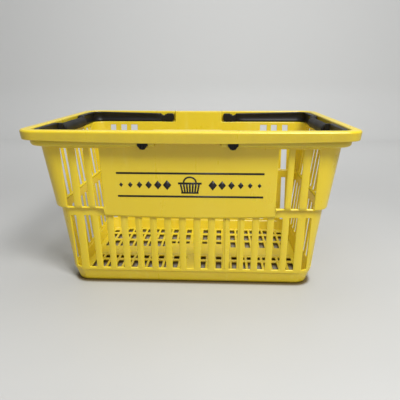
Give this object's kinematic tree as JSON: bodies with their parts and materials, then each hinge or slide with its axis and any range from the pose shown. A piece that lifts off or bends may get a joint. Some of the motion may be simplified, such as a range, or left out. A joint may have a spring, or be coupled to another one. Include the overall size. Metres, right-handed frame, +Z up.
{
  "type": "shopping basket",
  "caption": "Slotted yellow plastic hand basket with a turned-down rim, a solid front panel, a lattice floor and black fold-down handles that lie in a trough under the rim.",
  "frame": {"origin": "middle of the underside, on the surface the basket stands on", "axes": "+X along the long side to the right, +Y from front to rear, +Z up"},
  "size_m": [0.4318, 0.3048, 0.2257],
  "materials": {
    "shell_plastic": "satin moulded polyethylene",
    "handle_plastic": "satin moulded",
    "grip_plastic": "fine texture",
    "clip_plastic": "smooth moulded",
    "panel_ink": "printed ink, satin"
  },
  "bodies": {
    "basket": {"basket_shell": "shell_plastic", "front_left_pivot_clip": "clip_plastic", "rear_left_pivot_clip": "clip_plastic", "front_right_pivot_clip": "clip_plastic", "rear_right_pivot_clip": "clip_plastic"},
    "left_bail": {"left_handle": "handle_plastic", "left_grip": "grip_plastic"},
    "right_bail": {"right_handle": "handle_plastic", "right_grip": "grip_plastic"}
  },
  "joints": [
    {"name": "left_handle_fold", "type": "hinge", "parent": "basket", "child": "left_bail", "pos_m": [-0.0565, 0, 0.2135], "axis": [0, 1, 0], "range_deg": [0, 108]},
    {"name": "right_handle_fold", "type": "hinge", "parent": "basket", "child": "right_bail", "pos_m": [0.0565, 0, 0.2135], "axis": [0, -1, 0], "range_deg": [0, 108]}
  ]
}
